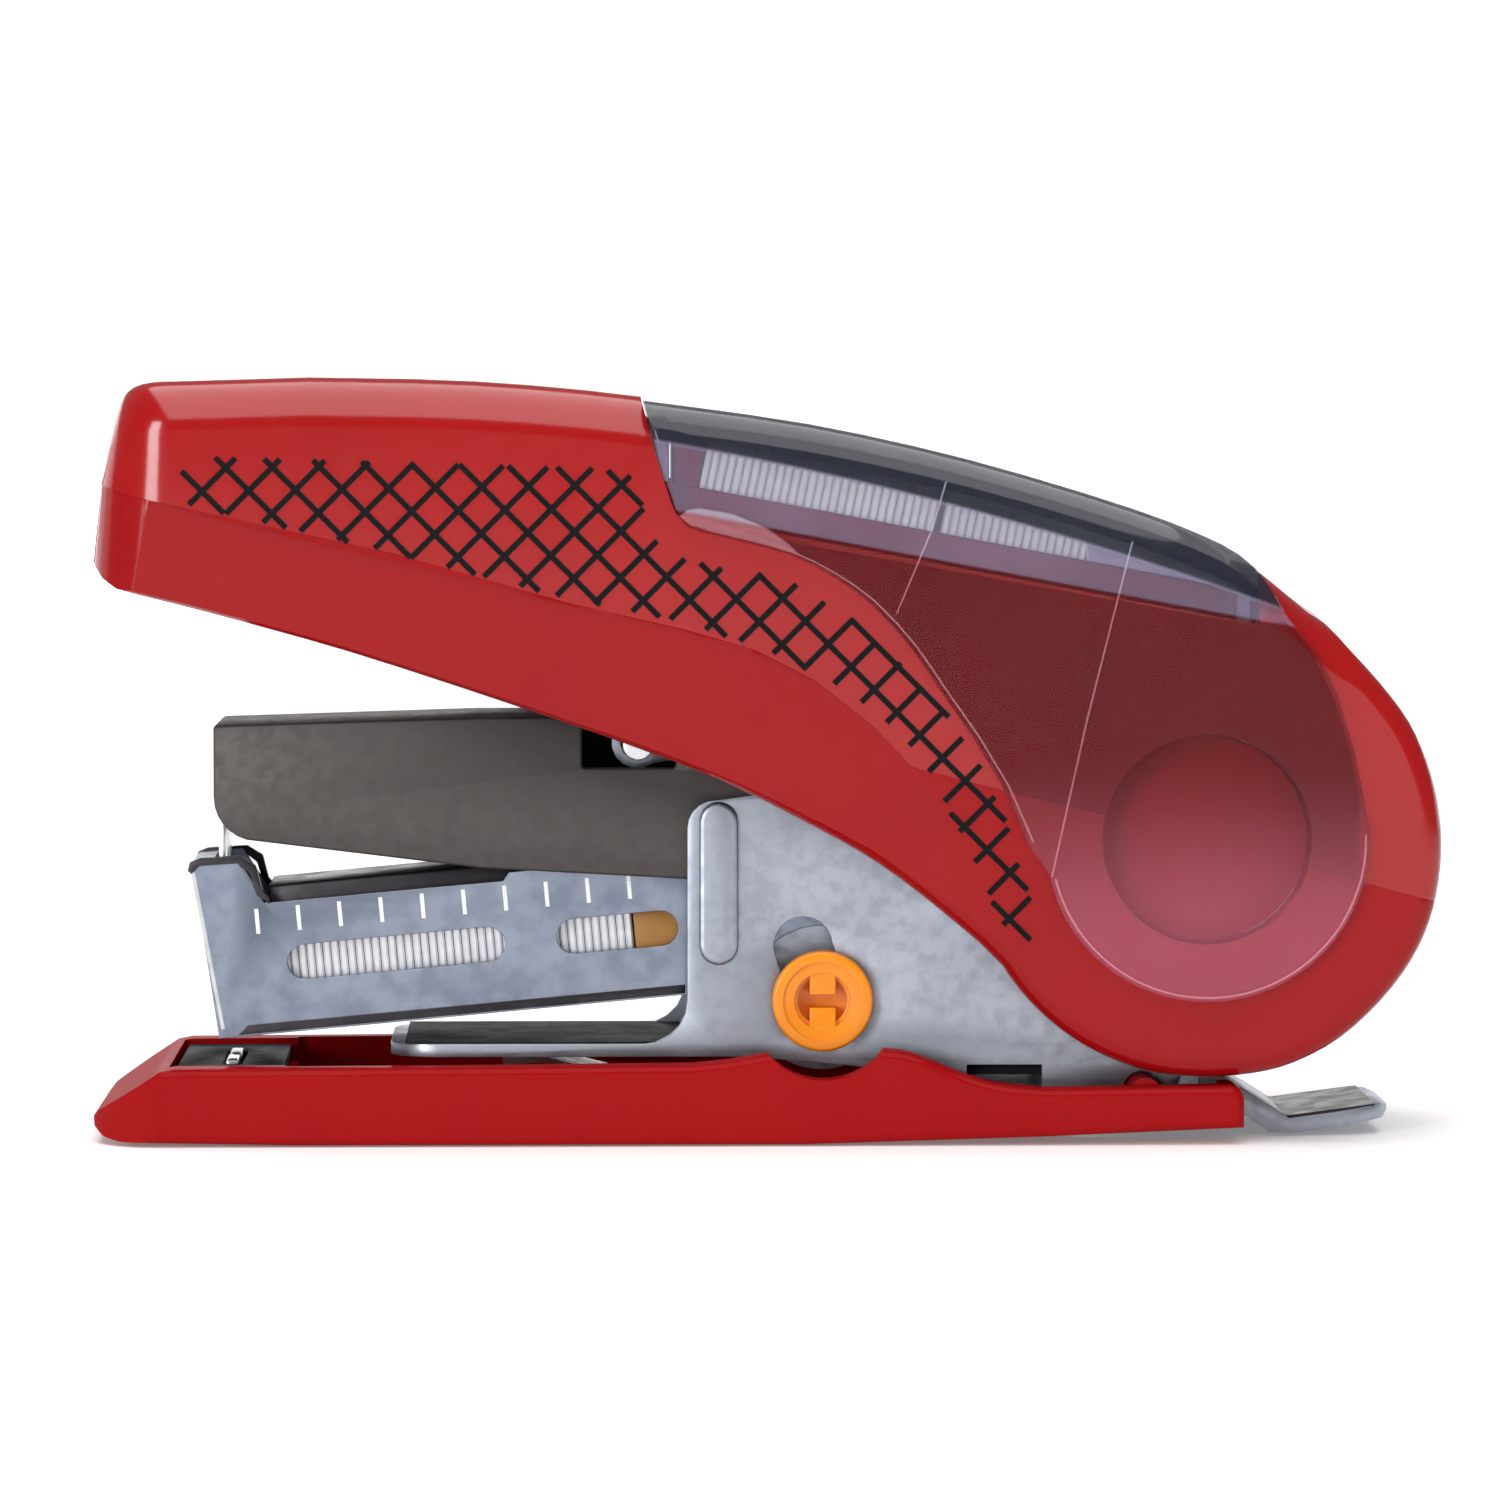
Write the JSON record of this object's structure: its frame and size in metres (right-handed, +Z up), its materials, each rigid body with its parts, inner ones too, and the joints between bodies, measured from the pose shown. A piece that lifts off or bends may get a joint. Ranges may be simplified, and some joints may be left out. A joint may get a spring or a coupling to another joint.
{
  "type": "stapler",
  "caption": "Compact light-effort flat-clinch desk stapler with sprung handle, sheet-steel magazine, driver arm, clear staple store and tail tongue.",
  "frame": {"origin": "under the middle of the stapler's box, on the plane it stands on", "axes": "+X to the tail, +Y across, +Z up; the nose that drives the staple is at -X"},
  "size_m": [0.0829, 0.0248, 0.0463],
  "materials": {
    "red_plastic": "moulded gloss ABS, fine flow marks",
    "dark_red_plastic": "moulded gloss ABS, seen through the clear cover",
    "clear_plastic": "clear smoke-violet styrene, polished",
    "orange_plastic": "moulded acetal",
    "ochre_plastic": "moulded acetal",
    "zinc_steel": "galvanised sheet, faint mottle",
    "bright_steel": "bright nickel plate",
    "dark_steel": "oiled dark steel",
    "arm_steel": "satin warm-grey plate",
    "staple_steel": "glued bright wire"
  },
  "bodies": {
    "base": {"base_shell": "red_plastic", "anvil_table": "dark_steel", "frame_lift_spring": "bright_steel"},
    "clincher": {"clincher_wings": "bright_steel"},
    "frame": {"frame_channel": "zinc_steel"},
    "magazine": {"magazine_channel": "zinc_steel", "magazine_rail": "dark_steel", "staple_hold_down": "dark_steel", "staple_strip": "staple_steel", "pusher_guide": "bright_steel", "pusher_spring": "bright_steel", "jaw_pin": "orange_plastic"},
    "pusher": {"pusher_shoe": "ochre_plastic"},
    "carrier": {"rear_axle": "bright_steel", "lever_bracket": "zinc_steel", "fulcrum_pin": "bright_steel", "return_spring": "bright_steel"},
    "driver": {"driver_arm": "arm_steel", "driver_blade": "bright_steel"},
    "lever": {"power_lever": "zinc_steel", "lever_roller": "bright_steel", "lever_cross_pin": "bright_steel"},
    "handle": {"handle_lower": "red_plastic", "handle_upper": "red_plastic", "handle_bush_near": "red_plastic", "handle_bush_far": "red_plastic", "store_tray": "dark_red_plastic", "stored_strip_front_near": "staple_steel", "stored_strip_front_far": "staple_steel", "stored_strip_rear_near": "staple_steel", "stored_strip_rear_far": "staple_steel"},
    "cover": {"storage_cover": "clear_plastic"}
  },
  "joints": [
    {"name": "frame_sink", "type": "hinge", "parent": "base", "child": "frame", "pos_m": [0.0225, 0, 0.0029], "axis": [0, -1, 0], "range_deg": [0, 1], "deforming": ["frame_lift_spring"]},
    {"name": "clincher_lift", "type": "slide", "parent": "base", "child": "clincher", "axis": [0, 0, 1], "range_m": [0, 0.0004]},
    {"name": "jaw_lift", "type": "hinge", "parent": "frame", "child": "magazine", "pos_m": [0.0261, 0, 0.0184], "axis": [0, 1, 0], "range_deg": [0, 8]},
    {"name": "pusher_slide", "type": "slide", "parent": "magazine", "child": "pusher", "axis": [0.9957, 0, 0.0924], "range_m": [0, 0.012], "stiffness_N_per_m": 60, "springref_m": -0.02, "deforming": ["pusher_spring"]},
    {"name": "load_open", "type": "hinge", "parent": "magazine", "child": "carrier", "pos_m": [0.0261, 0, 0.0184], "axis": [0, 1, 0], "range_deg": [0, 30]},
    {"name": "handle_press", "type": "hinge", "parent": "carrier", "child": "handle", "pos_m": [0.0261, 0, 0.0184], "axis": [0, -1, 0], "range_deg": [0, 13], "stiffness_Nm_per_rad": 0.15, "springref_deg": -28.65, "deforming": ["return_spring"]},
    {"name": "arm_press", "type": "hinge", "parent": "carrier", "child": "driver", "pos_m": [0.0261, 0, 0.0184], "axis": [0, -1, 0], "range_deg": [0, 6]},
    {"name": "lever_press", "type": "hinge", "parent": "carrier", "child": "lever", "pos_m": [0.0007, 0, 0.022], "axis": [0, -1, 0], "range_deg": [0, 24]},
    {"name": "cover_open", "type": "hinge", "parent": "handle", "child": "cover", "pos_m": [0.0261, 0, 0.0184], "axis": [0, 1, 0], "range_deg": [0, 45]}
  ],
  "couplings": [
    {"joint": "arm_press", "follows": "handle_press", "ratio": 0.4615},
    {"joint": "lever_press", "follows": "handle_press", "ratio": 1.846},
    {"joint": "frame_sink", "follows": "handle_press", "ratio": 0.0769},
    {"joint": "clincher_lift", "follows": "handle_press", "m_per_rad": 0.00176}
  ]
}
